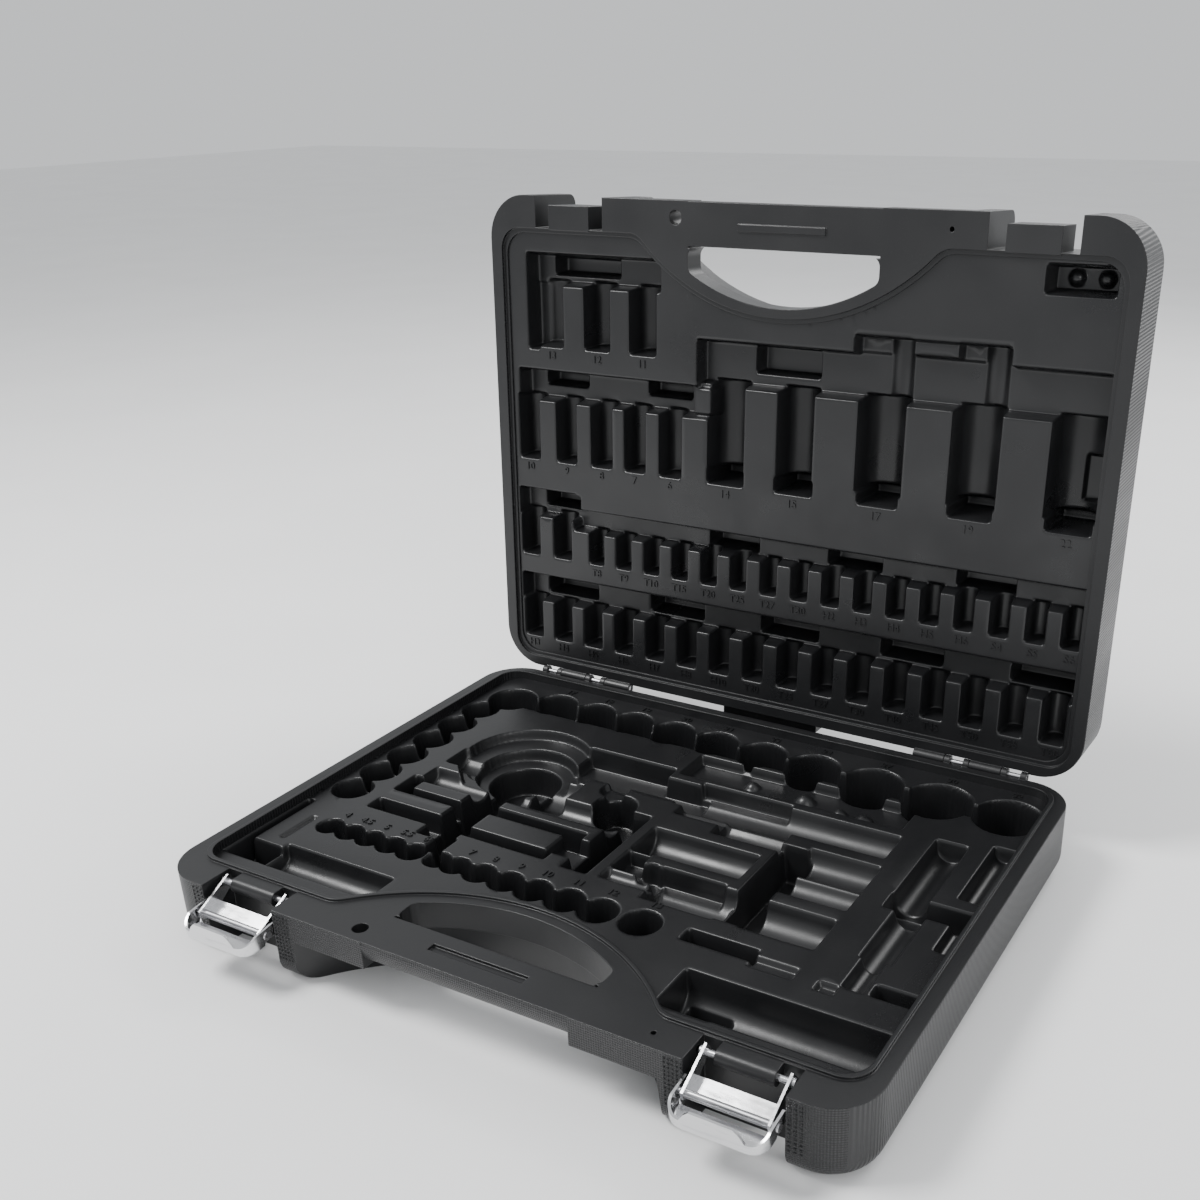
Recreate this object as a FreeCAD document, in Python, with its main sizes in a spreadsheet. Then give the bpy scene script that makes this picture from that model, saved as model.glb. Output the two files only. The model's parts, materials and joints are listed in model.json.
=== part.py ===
import FreeCAD, Part
import math
import os
import re
from FreeCAD import Placement, Rotation, Vector

# A blow moulded two-part carrying case for a socket set, standing open.
# Millimetres. X runs along the hinge, Y from the handle to the hinge, Z up.
# The origin is the centre of the base's underside. Each half is drawn rim up, with
# its rim at z = 0: "s" is the distance from the handle edge towards the hinge.

SIZES = {
    # the two halves
    "case_width": 390, "case_depth": 295, "base_height": 40, "lid_height": 42,
    "corner_radius": 25, "base_round": 11, "lid_round": 6, "skin": 3,
    "side_land": 10, "back_land": 9, "front_land": 21, "land_radius": 13,
    "base_deck": 4, "lid_deck": 3, "layout_width": 390, "layout_depth": 295,
    "tongue_width": 2, "tongue_height": 1.4, "groove_play": 0.6,
    # the handle
    "arch_centre": 64, "shoulder_radius": 123, "shoulder_lean": 2.5,
    "eye_centre": 55, "eye_radius": 109, "eye_near": 24, "eye_half": 58, "eye_nose": 5.5,
    "grip_drop": 15, "grip_width": 24, "key_length": 54, "key_width": 5, "key_place": 13,
    "key_depth": 1.6, "hang_place": 66, "hang_inset": 9, "hang_radius": 4,
    "vent_place": 96, "vent_radius": 1.3, "vent_depth": 6,
    # what is pressed into the outer faces
    "relief": 1.5, "slat_start": 119, "slat_pitch": 11.4, "slat_width": 4.6, "slat_length": 92,
    "slat_inset": 7, "panel_half": 91, "panel_near": 119, "panel_far": 213, "panel_line": 4,
    "dimple_radius": 12, "dimple_inset": 24.5, "dimple_depth": 2.5,
    "badge_place": 161, "badge_room_long": 68, "badge_room_short": 29,
    # the hinge
    "hinge_gap": 2.5, "knuckle_radius": 3.2, "hinge_pin_radius": 1.5, "hinge_start": 98,
    "lid_knuckle": 19, "base_knuckle": 15, "ear_length": 3.6, "knuckle_play": 0.4,
    "running_play": 0.06, "side_play": 0.15, "pin_short": 1, "open_angle": 93.6,
    "foot_half": 32, "foot_out": 6.5, "foot_below": 5.4, "foot_rise": 8,
    # the latches
    "latch_place": 138.5, "notch_width": 47, "notch_depth": 18, "block_width": 28,
    "block_front": 5.2, "block_height": 23.2, "pin_inset": 13, "pin_drop": 4,
    "barrel_radius": 4, "barrel_length": 28, "latch_pin_radius": 1.6, "sheet": 1.2,
    "link_width": 41, "link_length": 19, "link_angle": 207, "lever_angle": 187,
    "lever_width": 46, "lever_length": 14.5, "lever_drop": 6, "lever_rise": 4.2,
    "lip_rise": 7, "lip_narrow": 27, "rivet_radius": 1.5, "pin_stand": 1.5, "rivet_stand": 0.4,
    # the printed films
    "film": 0.3, "film_play": 0.4, "label_half": 186, "label_near": 40.5, "label_far": 116,
    "label_radius": 6, "label_sink": 0.5, "badge_long": 52, "badge_short": 25, "badge_line": 0.9,
}

doc = FreeCAD.newDocument("SocketCase")
sheet = doc.addObject("Spreadsheet::Sheet", "Sizes")
for row, (alias, value) in enumerate(SIZES.items(), start=1):
    sheet.set(f"A{row}", alias)
    sheet.set(f"B{row}", str(value))
    sheet.setAlias(f"B{row}", alias)
doc.recompute()

WORD = re.compile(r"\b(" + "|".join(sorted(SIZES, key=len, reverse=True)) + r")\b")


def named(text):
    """An expression with every size name pointed at its cell."""
    return WORD.sub(r"Sizes.\1", str(text))


def size(alias):
    return float(sheet.get(alias))


def bind(item, **sizes):
    """Ties properties to expressions on the sheet; x, y and z place the item."""
    for key, text in sizes.items():
        path = f"Placement.Base.{key}" if key in "xyz" else key
        item.setExpression(path, named(text))
    return item


def fuse(name, items):
    if len(items) == 1:
        return items[0]
    result = doc.addObject("Part::MultiFuse", name)
    result.Shapes = items
    return result


def cut(name, base, tool):
    result = doc.addObject("Part::Cut", name)
    result.Base = base
    result.Tool = tool
    return result


def carved(name, base, tools):
    """The base with each tool cut away in turn."""
    for number, tool in enumerate(tools):
        base = cut(f"{name}_{number}", base, tool)
    return base


def common(name, items):
    result = doc.addObject("Part::MultiCommon", name)
    result.Shapes = items
    return result


class Half:
    """Primitives for one half of the case, placed by x and s with the rim at z = 0."""

    def __init__(self, title, front):
        self.title = title
        self.front = front
        self.height = f"{title}_height"
        self.deck = f"{title}_deck"

    def y(self, s):
        """Where distance s from the handle edge lies, as an expression."""
        if self.front < 0:
            return f"(({s}) - case_depth / 2)"
        return f"(case_depth / 2 - ({s}))"

    def box(self, name, x0, x1, s0, s1, low, high):
        item = doc.addObject("Part::Box", f"{self.title}_{name}")
        near = s0 if self.front < 0 else s1
        return bind(item, Length=f"({x1}) - ({x0})", Width=f"({s1}) - ({s0})",
                    Height=f"({high}) - ({low})", x=x0, y=self.y(near), z=low)

    def post(self, name, x, s, radius, low, high):
        item = doc.addObject("Part::Cylinder", f"{self.title}_{name}")
        return bind(item, Radius=radius, Height=f"({high}) - ({low})", x=x, y=self.y(s), z=low)

    def roller(self, name, x0, x1, s, radius, z):
        """A cylinder lying along X."""
        item = doc.addObject("Part::Cylinder", f"{self.title}_{name}")
        item.Placement = Placement(Vector(), Rotation(Vector(0, 1, 0), 90))
        return bind(item, Radius=radius, Height=f"({x1}) - ({x0})", x=x0, y=self.y(s), z=z)

    def log(self, name, x, s0, s1, radius, z):
        """A cylinder lying along Y."""
        item = doc.addObject("Part::Cylinder", f"{self.title}_{name}")
        item.Placement = Placement(Vector(), Rotation(Vector(1, 0, 0), -90))
        near = s0 if self.front < 0 else s1
        return bind(item, Radius=radius, Height=f"({s1}) - ({s0})", x=x, y=self.y(near), z=z)

    def ball(self, name, x, s, radius, z):
        """A sphere turned so that its seam lies underneath and its poles at the sides."""
        item = doc.addObject("Part::Sphere", f"{self.title}_{name}")
        item.Placement = Placement(Vector(), Rotation(Vector(0, 1, 0), 90))
        return bind(item, Radius=radius, x=x, y=self.y(s), z=z)


BASE = Half("base", -1)
LID = Half("lid", 1)


def upright_edges(shape, only=None):
    """Numbers of the shape's edges that run along Z, or of those that the test picks."""
    picked = []
    for number, edge in enumerate(shape.Edges, start=1):
        box = edge.BoundBox
        upright = box.XLength < 0.01 and box.YLength < 0.01 and box.ZLength > 0.05
        if upright and (only is None or only(box)):
            picked.append(number)
    return picked


def rounded(name, item, radius, edges):
    """The item with the listed edges rounded."""
    result = doc.addObject("Part::Fillet", name)
    result.Base = item
    result.Edges = [(number, radius, radius) for number in edges]
    return result


def prism(half, name, grow, low, high):
    """The tray's outline, grown sideways: a rounded box less the arch over the handle."""
    body = half.box(f"{name}_block", f"side_land - ({grow}) - case_width / 2",
                    f"case_width / 2 - side_land + ({grow})", f"front_land - ({grow})",
                    f"case_depth - back_land + ({grow})", low, high)
    arch = half.post(f"{name}_arch", 0, "-arch_centre", f"shoulder_radius + skin - ({grow})", low, high)
    outline = cut(f"{half.title}_{name}_outline", body, arch)
    doc.recompute()
    return rounded(f"{half.title}_{name}", outline, size("land_radius"), upright_edges(outline.Shape))


# ---------------------------------------------------------------- pockets in the trays
# Places are read on a tray of layout_width by layout_depth and spread with the case.

def across(x):
    return f"(({x}) * case_width / layout_width)"


def along(s):
    return f"(({s}) * case_depth / layout_depth)"


def pit(half, name, x0, x1, s0, s1, depth):
    """A straight-sided recess, depth below the deck."""
    return [half.box(name, across(x0), across(x1), along(s0), along(s1),
                     f"-{half.deck} - {depth}", 1)]


def well(half, name, x, s, diameter, depth):
    """An upright round pocket for a standing socket."""
    return [half.post(name, across(x), along(s), diameter / 2, f"-{half.deck} - {depth}", 1)]


def trough_x(half, name, x0, x1, s, diameter, sink=0):
    """A lying half round along X, its axis sunk below the deck."""
    made = [half.roller(name, across(x0), across(x1), along(s), diameter / 2,
                        f"-{half.deck} - {sink}")]
    if sink:
        made.append(half.box(f"{name}_mouth", across(x0), across(x1),
                             f"{along(s)} - {diameter / 2}", f"{along(s)} + {diameter / 2}",
                             f"-{half.deck} - {sink}", 1))
    return made


def trough_y(half, name, x, s0, s1, diameter, sink=0):
    """A lying half round along Y, its axis sunk below the deck."""
    made = [half.log(name, across(x), along(s0), along(s1), diameter / 2,
                     f"-{half.deck} - {sink}")]
    if sink:
        made.append(half.box(f"{name}_mouth", f"{across(x)} - {diameter / 2}",
                             f"{across(x)} + {diameter / 2}", along(s0), along(s1),
                             f"-{half.deck} - {sink}", 1))
    return made


def base_pockets():
    """Everything that is sunk into the base tray."""
    made = []
    floor = 31
    # large sockets stand along the hinge side: place across, diameter
    back_row = [(-133, 28), (-104, 28), (-76, 28), (-46, 29), (-16, 29), (16, 30),
                (50, 33), (88, 36), (128, 39), (168, 38)]
    back_line = 276
    made += well(BASE, "back_corner", -162, 256, 30, floor)
    for number, (x, diameter) in enumerate(back_row):
        made += well(BASE, f"back{number}", x, back_line - diameter / 2, diameter, floor)
    made += pit(BASE, "back_row_gutter", -160, 166, 249, 262, floor)
    # middle sockets stand down the left side
    side_count, side_first, side_pitch = 6, 117, 23.4
    for number in range(side_count):
        made += well(BASE, f"side{number}", -171, side_first + side_pitch * number, 22.6, floor)
    # small sockets stand in two scalloped rows: place across, diameter
    small_row = [(-152, 14), (-138, 14.5), (-124, 14.5), (-109.5, 15), (-95, 15.5),
                 (-78, 14), (-66, 15), (-50.5, 16.5), (-34, 17.5), (-17, 18.5), (2, 19.5), (21.5, 20)]
    for number, (x, diameter) in enumerate(small_row):
        made += well(BASE, f"small{number}", x, 79, diameter, 22)
    made += pit(BASE, "small_gutter_left", -152, -95, 75, 83, 22)
    made += pit(BASE, "small_gutter_right", -78, 24, 74.5, 83.5, 22)
    made += well(BASE, "small_last", 45, 80, 20.5, 22)
    # the ratchet: round head, two steps round it, and the handle
    made += well(BASE, "ratchet_head", -100, 184, 41, 30)
    made += well(BASE, "ratchet_step", -101, 187, 58, 13)
    made += well(BASE, "ratchet_outer", -104, 191, 77, 6)
    made += pit(BASE, "ratchet_neck", -78, -19, 190, 222, 13)
    made += pit(BASE, "ratchet_waist", -30, 10, 190, 211, 13)
    made += pit(BASE, "ratchet_finger", 4, 60, 200, 214.5, 9)
    made += trough_x(BASE, "ratchet_handle", 0, 125, 199.5, 24)
    made += pit(BASE, "dome_floor", -14, 122, 219, 244, 6)
    # joints, adapters and bars between the fingers of the left island
    made += trough_x(BASE, "joint_upper", -144, -78, 177, 19)
    made += well(BASE, "joint_collar", -122, 177, 22, 8)
    made += trough_x(BASE, "joint_lower", -144, -92, 151, 17)
    made += pit(BASE, "key_gap", -149, -104, 127.5, 132.5, 12)
    made += pit(BASE, "key_end", -149, -141, 127.5, 146, 14)
    made += pit(BASE, "bar_gap", -149, -104, 105.5, 115.5, 12)
    made += pit(BASE, "island_alley", -106, -84, 96, 165, 22)
    made += pit(BASE, "island_gate", -93, -82, 84, 100, 22)
    made += trough_x(BASE, "swivel_wide", -78, -57, 172, 34)
    made += trough_x(BASE, "swivel_long", -84, -18, 154, 18)
    made += pit(BASE, "bar_upper", -84, -24, 130, 137, 14)
    made += pit(BASE, "bar_lower", -84, -30, 105.5, 113, 12)
    made += pit(BASE, "bar_notch", -34, -17, 113, 130, 9)
    made += pit(BASE, "middle_alley", -18, -3, 104, 168, 22)
    made += well(BASE, "middle_round", -27, 169, 24, 20)
    made += well(BASE, "middle_ring", -37, 184, 15, 4)
    # lying spark plug sockets and extension pieces in the middle and on the right
    made += pit(BASE, "plate_slot", 6, 34, 178, 187, 6)
    made += trough_x(BASE, "plug_far", 34, 72, 180, 22)
    made += trough_x(BASE, "plug_middle", 5, 68, 148, 24)
    made += pit(BASE, "plug_step", 5, 18, 117, 134, 9)
    made += well(BASE, "plug_thumb", 24.5, 121, 13, 12)
    made += pit(BASE, "plug_shelf", 29.5, 66, 112, 127.5, 11)
    made += trough_x(BASE, "plug_near", 33, 73, 112, 27)
    made += trough_x(BASE, "plug_small", 5, 34, 110, 10)
    made += pit(BASE, "right_alley", 74, 90, 100, 176, 22)
    for number, (s, diameter) in enumerate([(168, 22), (146, 22), (112, 26)]):
        made += trough_x(BASE, f"extension{number}", 88, 127, s, diameter)
    made += trough_y(BASE, "tall_far", 151, 154, 218, 17, 3)
    made += trough_y(BASE, "tall_near", 156, 104, 146, 15, 2)
    made += trough_y(BASE, "tall_tip", 155.5, 80, 106, 10.5, 2)
    made += trough_y(BASE, "slim_far", 178, 170, 225, 12, 2)
    made += trough_y(BASE, "slim_near", 180.5, 124, 149, 8, 1)
    made += pit(BASE, "tall_alley", 142, 184, 147, 160, 14)
    made += pit(BASE, "slot_long", 68, 106, 77.5, 86.5, 16)
    made += pit(BASE, "slot_shallow", 106, 128, 74, 82, 3)
    made += pit(BASE, "slot_right", 164, 184, 79.5, 88, 12)
    made += pit(BASE, "slot_cross", 140, 149, 72.5, 79, 3)
    # long troughs at the handle side
    made += trough_x(BASE, "front_right", 83, 183, 45, 27, 5)
    made += pit(BASE, "front_finger", 88, 110, 31, 52.5, 24)
    made += trough_x(BASE, "front_left", -158, -86, 44, 20, 2)
    made += pit(BASE, "front_shaft", -184, -160, 34, 50, 28)
    made += pit(BASE, "side_slot", -184, -180, 49, 96, 16)
    made += pit(BASE, "tile_groove", -168, -165, 58, 83, 2)
    return made


def base_domes():
    """Small round buttons that stand in the dome floor."""
    made = []
    for number, (x, s, radius) in enumerate([(26, 232, 4.5), (60, 230, 6), (83, 226, 4.5),
                                             (98, 224, 6)]):
        made.append(BASE.ball(f"dome{number}", across(x), along(s), radius, "-base_deck - 7"))
    return made


def lid_pockets():
    """Everything that is sunk into the lid tray."""
    made = []
    # driver bits beside the hinge
    far_count, far_first, far_pitch = 16, -175.5, 23.4
    for number in range(far_count):
        made += trough_y(LID, f"far_bit{number}", far_first + far_pitch * number, 249, 275.5, 13, 8)
    made += pit(LID, "far_channel", -183, 186, 233, 250, 10)
    for number in range(5):
        left = -169 + 79 * number
        made += pit(LID, f"far_window{number}", left, left + 38, 236.5, 246, 24)
    # the second row of bits, with two longer ones at its left end
    near_count, near_first, near_pitch = 16, -125, 20.35
    for number in range(near_count):
        made += trough_y(LID, f"near_bit{number}", near_first + near_pitch * number,
                         198, 219, 10.4, 8)
    for number, x in enumerate((-176, -151)):
        made += trough_y(LID, f"long_bit{number}", x, 190, 219, 13, 8)
    made += pit(LID, "near_channel", -142, 186, 185.5, 199, 9)
    made += pit(LID, "near_channel_left", -183, -140, 176, 193, 9)
    for number, left in enumerate((-47, 32, 111)):
        made += pit(LID, f"near_window{number}", left, left + 33, 187, 196.5, 22)
    made += pit(LID, "near_window_left", -168, -137, 177, 187, 22)
    # small deep sockets
    for number, x in enumerate((-174, -146, -120, -96, -71)):
        made += trough_y(LID, f"slim{number}", x, 117, 156, 14.5, 8)
    made += pit(LID, "slim_channel", -180, -45, 101, 119, 11)
    for number, left in enumerate((-166, -92)):
        made += pit(LID, f"slim_window{number}", left, left + 30, 102.5, 110.5, 22)
    # large deep sockets: place across, diameter
    for number, (x, diameter) in enumerate([(-33.5, 23), (11, 22), (63, 27), (117, 26), (171, 27)]):
        made += trough_y(LID, f"deep{number}", x, 97, 150, diameter, 8)
        made += pit(LID, f"deep_mouth{number}", x - 12, x + 12, 148, 156, 26)
    made += pit(LID, "deep_channel", -53, 185, 74.5, 99, 10)
    made += pit(LID, "deep_window", -19, 21, 76, 91, 20)
    made += pit(LID, "tee_recess", 45, 132, 65, 76, 9)
    for number, x in enumerate((70, 123)):
        made += trough_y(LID, f"tee_bar{number}", x, 65, 117, 13, 8)
    made += pit(LID, "clip_slot", 172, 182, 118, 142, 24)
    # middle sockets at the handle side
    for number, x in enumerate((-155.5, -122, -90)):
        made += trough_y(LID, f"mid{number}", x, 48, 86, 17.5, 8)
    made += pit(LID, "mid_channel", -172, -78, 32.5, 50, 11)
    made += pit(LID, "mid_window", -158, -112, 34.5, 45, 22)
    made += pit(LID, "mid_step", -172, -164, 50, 88, 12)
    made += pit(LID, "corner_box", 146, 181, 23.5, 37, 14)
    return made


def lid_bosses():
    """Small raised parts that stand in the lid tray's recesses."""
    made = []
    for number, x in enumerate((158, 173)):
        made.append(LID.ball(f"boss{number}", across(x), along(30), 4, "-lid_deck - 14"))
    made.append(LID.box("slim_block", across(-56), across(-44), along(102), along(117),
                        "-lid_deck - 12", "-lid_deck - 2"))
    made.append(LID.box("tee_block", across(78), across(104), along(66), along(73),
                        "-lid_deck - 12", "-lid_deck - 2"))
    return made


def tray(half, pockets, bosses):
    """The inner wall of one half: a solid slab under the deck, with its pockets sunk in."""
    slab = prism(half, "slab", "0", f"skin - {half.height}", f"-{half.deck}")
    hollow = cut(f"{half.title}_sunk", slab, fuse(f"{half.title}_pockets", pockets))
    return fuse(f"{half.title}_tray", [hollow] + bosses)


# ---------------------------------------------------------------- the outer walls

def rounded_block(half):
    """The outer form: upright corners rounded first, then the edges of the outer face."""
    block = half.box("block", "-case_width / 2", "case_width / 2", 0, "case_depth",
                     f"-{half.height}", 0)
    doc.recompute()
    corners = rounded(f"{half.title}_corners", block, size("corner_radius"),
                      upright_edges(block.Shape))
    doc.recompute()
    low = corners.Shape.BoundBox.ZMin
    face = [number for number, edge in enumerate(corners.Shape.Edges, start=1)
            if edge.BoundBox.ZMax < low + 0.01]
    return rounded(f"{half.title}_form", corners, size(f"{half.title}_round"), face)


def shoulder(half):
    """Room for the hand round the grip: a cone that opens towards the outer face."""
    cone = doc.addObject("Part::Cone", f"{half.title}_shoulder")
    return bind(cone, Radius1="shoulder_radius", Radius2="shoulder_radius - shoulder_lean",
                Height=f"{half.height} - grip_drop + 1", x=0, y=half.y("-arch_centre"),
                z=f"-{half.height} - 1")


def eye(half):
    """The half-moon opening that the fingers go through."""
    deep, above = f"-{half.height} - 1", 2
    moon = common(f"{half.title}_moon", [
        half.post("moon_arc", 0, "-eye_centre", "eye_radius", deep, above),
        half.box("moon_cut", "-eye_half", "eye_half", "eye_near", 80, deep, above)])
    doc.recompute()
    return rounded(f"{half.title}_eye", moon, size("eye_nose"), upright_edges(moon.Shape))


def notch(half, side):
    """The gap that a latch works in; side is -1 for the left one."""
    middle = f"({side}) * latch_place"
    return half.box(f"notch{side + 1}", f"{middle} - notch_width / 2",
                    f"{middle} + notch_width / 2", -1, "notch_depth", f"-{half.height} - 1", 3)


def slats(half):
    """Two stacks of shallow grooves, one at each side of the panel."""
    face, count = f"-{half.height}", 8
    made = []
    for side, edge in ((-1, "-case_width / 2 + slat_inset"),
                       (1, "case_width / 2 - slat_inset - slat_length")):
        for number in range(count):
            start = f"slat_start + {number} * slat_pitch"
            made.append(half.box(f"slat{side + 1}_{number}", edge, f"{edge} + slat_length",
                                 along(start), f"{along(start)} + slat_width",
                                 f"{face} - 1", f"{face} + relief"))
    return fuse(f"{half.title}_slats", made)


def panel_ring(half):
    """The groove round the badge panel."""
    face = f"-{half.height}"
    near, far = along("panel_near"), along("panel_far")
    outer = half.box("panel_room", "-panel_half", "panel_half", near, far,
                     f"{face} - 1", f"{face} + relief")
    inner = half.box("panel", "-panel_half + panel_line", "panel_half - panel_line",
                     f"{near} + panel_line", f"{far} - panel_line", f"{face} - 2",
                     f"{face} + relief + 1")
    return cut(f"{half.title}_panel_ring", outer, inner)


def dimples(half):
    """A shallow dish in each corner of the outer face."""
    made = []
    for side in ("-1", "1"):
        for row, s in enumerate(("dimple_inset", "case_depth - dimple_inset")):
            dish = doc.addObject("Part::Cone", f"{half.title}_dimple{side.strip('-')}_{row}")
            made.append(bind(dish, Radius1="dimple_radius", Radius2="dimple_radius / 2",
                             Height="dimple_depth + 1", x=f"{side} * (case_width / 2 - dimple_inset)",
                             y=half.y(s), z=f"-{half.height} - 1"))
    return fuse(f"{half.title}_dimples", made)


def oval(half, name, long, short, low, high):
    item = doc.addObject("Part::Ellipse", f"{half.title}_{name}_line")
    bind(item, MajorRadius=long, MinorRadius=short, x=0, y=half.y(along("badge_place")), z=low)
    solid = doc.addObject("Part::Extrusion", f"{half.title}_{name}")
    solid.Base = item
    solid.DirMode = "Custom"
    solid.Dir = Vector(0, 0, 1)
    solid.Solid = True
    return bind(solid, LengthFwd=f"({high}) - ({low})")


HINGE_END = "hinge_start + 2 * lid_knuckle + 2 * base_knuckle"


def knuckle_spans(owner):
    """Start and length of each knuckle, as distances along X, for one half."""
    spans = []
    order = ["base", "lid", "base", "lid"]
    for side in (-1, 1):
        sequence = order if side < 0 else ["lid", "base", "lid", "base"]
        start = f"-({HINGE_END})" if side < 0 else "hinge_start"
        for kind in sequence:
            if kind == owner:
                spans.append((start, f"{kind}_knuckle"))
            start = f"{start} + {kind}_knuckle"
    return spans


def knuckles(half):
    """Barrels round the hinge axis with webs back to the wall; the base has pairs of ears."""
    made = []
    for number, (start, length) in enumerate(knuckle_spans(half.title)):
        first, last = f"{start} + side_play", f"{start} + {length} - side_play"
        parts = [(first, last)]
        if half is BASE:
            parts = [(first, f"{start} + ear_length"), (f"{start} + {length} - ear_length", last)]
        for index, (x0, x1) in enumerate(parts):
            tag = f"{number}_{index}"
            barrel = half.roller(f"knuckle{tag}", x0, x1, "case_depth + hinge_gap", "knuckle_radius", 0)
            web = half.box(f"web{tag}", x0, x1, "case_depth - 3", "case_depth + hinge_gap",
                           "-knuckle_radius", "-0.3")
            made += [barrel, web]
    return made


def knuckle_room(half):
    """Room in this half's wall for the other half's knuckles."""
    other = "lid" if half is BASE else "base"
    made = []
    for number, (start, length) in enumerate(knuckle_spans(other)):
        made.append(half.roller(f"room{number}", start, f"{start} + {length}",
                                "case_depth + hinge_gap", "knuckle_radius + knuckle_play", 0))
    return made


def hinge_bores(half):
    """Bores for the two pins: tight in the base's ears, free in the lid's barrels."""
    play = "" if half is BASE else " + running_play"
    ends = [(f"-({HINGE_END}) - 1", "-hinge_start + 1"), ("hinge_start - 1", f"{HINGE_END} + 1")]
    return [half.roller(f"hinge_bore{side}", x0, x1, "case_depth + hinge_gap",
                        f"hinge_pin_radius{play}", 0) for side, (x0, x1) in enumerate(ends)]


def foot(half):
    """The pad in the middle of the hinge side that the closed case stands on."""
    return half.box("foot", "-foot_half", "foot_half", "case_depth - 4", "case_depth + foot_out",
                    f"-{half.height} + foot_rise", "-foot_below")


def grip(half):
    """The rounded bar of the handle, between the two blocks."""
    bar = half.roller("grip_bar", "-eye_half - 2", "eye_half + 2", "grip_width / 2",
                      "grip_width / 2", "-grip_drop + grip_width / 2")
    keep = half.box("grip_keep", "-eye_half - 3", "eye_half + 3", -1, "eye_near",
                    "-grip_drop - 1", 0)
    return common(f"{half.title}_grip", [bar, keep])


def outer_shell(half, extra_solids, extra_cuts):
    """The outer wall of one half with its handle, notches, hinge and reliefs."""
    form = rounded_block(half)
    room = prism(half, "room", "0", f"skin - {half.height}", 3)
    bar_room = half.box("bar_room", "-eye_half", "eye_half", -1, "eye_near + 1",
                        f"-{half.height} - 1", 1)
    holes = [half.post("hang_hole", "-hang_place", "hang_inset", "hang_radius",
                       f"-{half.height} - 1", 1),
             half.post("vent_hole", "vent_place", "hang_inset", "vent_radius", "-vent_depth", 1)]
    tools = [room, bar_room, shoulder(half), eye(half), notch(half, -1), notch(half, 1)]
    tools += [slats(half), panel_ring(half), dimples(half)]
    tools += [fuse(f"{half.title}_rooms", knuckle_room(half))] + holes
    body = carved(f"{half.title}_body", form, tools + extra_cuts)
    added = [foot(half), grip(half)] + knuckles(half) + extra_solids
    solids = fuse(f"{half.title}_solids", [body] + added)
    return cut(f"{half.title}_bored", solids, fuse(f"{half.title}_bores", hinge_bores(half)))


def base_shell():
    barrels = []
    for side in (-1, 1):
        middle = f"({side}) * latch_place"
        tag = side + 1
        x0, x1 = f"{middle} - barrel_length / 2", f"{middle} + barrel_length / 2"
        barrels.append(BASE.roller(f"barrel{tag}", x0, x1, "pin_inset", "barrel_radius", "-pin_drop"))
        barrels.append(BASE.box(f"barrel_web{tag}", x0, x1, "pin_inset", "notch_depth + 1",
                                "-pin_drop - 3", "-pin_drop + barrel_radius"))
    tongue = cut("base_tongue", prism(BASE, "tongue_outer", "tongue_width", -1, "tongue_height"),
                 prism(BASE, "tongue_inner", "0", -2, "tongue_height + 1"))
    key = BASE.box("key_slot", "-key_length / 2", "key_length / 2", "key_place - key_width / 2",
                   "key_place + key_width / 2", "-key_depth", 1)
    shell = outer_shell(BASE, barrels + [tongue], [])
    pins = [BASE.roller(f"latch_bore{side + 1}", f"({side}) * latch_place - barrel_length",
                        f"({side}) * latch_place + barrel_length", "pin_inset",
                        "latch_pin_radius", "-pin_drop") for side in (-1, 1)]
    return cut("base_outer", shell, fuse("base_small_cuts", pins + [key]))


def lid_shell():
    blocks = []
    for side in (-1, 1):
        middle = f"({side}) * latch_place"
        blocks.append(LID.box(f"catch{side + 1}", f"{middle} - block_width / 2",
                              f"{middle} + block_width / 2", "block_front", "notch_depth + 1",
                              "-block_height", 0))
    key = LID.box("key_rib", "-key_length / 2 + groove_play", "key_length / 2 - groove_play",
                  "key_place - key_width / 2 + groove_play", "key_place + key_width / 2 - groove_play",
                  -1, "key_depth - groove_play")
    groove = prism(LID, "groove", "tongue_width + groove_play", "-tongue_height - groove_play", 3)
    label = LID.box("label_room", "-label_half - film_play", "label_half + film_play",
                    "label_near - film_play", "label_far + film_play", "-lid_height - 1",
                    "-lid_height + label_sink")
    badge = oval(LID, "badge_room", "badge_room_long", "badge_room_short", "-lid_height - 1",
                 "-lid_height + 1")
    return outer_shell(LID, blocks + [key], [groove, label, badge])


# ---------------------------------------------------------------- latches
# A latch is drawn lying out from its pin: arm along -Y, pin along X at the origin.

def plane_of(body, role):
    return next(f for f in body.Origin.OriginFeatures if f.Role == role)


def drawn(body, name, plane, edges):
    """A sketch of the given edges on one of the body's origin planes."""
    sketch = body.newObject("Sketcher::SketchObject", f"{name}_sketch")
    sketch.AttachmentSupport = [(plane_of(body, plane), "")]
    sketch.MapMode = "FlatFace"
    for edge in edges:
        sketch.addGeometry(edge, False)
    return sketch


def swept(body, kind, name, plane, edges, length):
    """A Pad or Pocket of the edges, half its length to each side of the plane."""
    feature = body.newObject(f"PartDesign::{kind}", name)
    feature.Profile = drawn(body, name, plane, edges)
    feature.Midplane = True
    feature.setExpression("Length", named(length))


def outline(points):
    """Straight sketch edges through the points and back to the first."""
    spots = [Vector(a, b, 0) for a, b in points]
    return [Part.LineSegment(a, b) for a, b in zip(spots, spots[1:] + spots[:1])]


def circle(a, b, radius):
    return [Part.Circle(Vector(a, b, 0), Vector(0, 0, 1), radius)]


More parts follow.
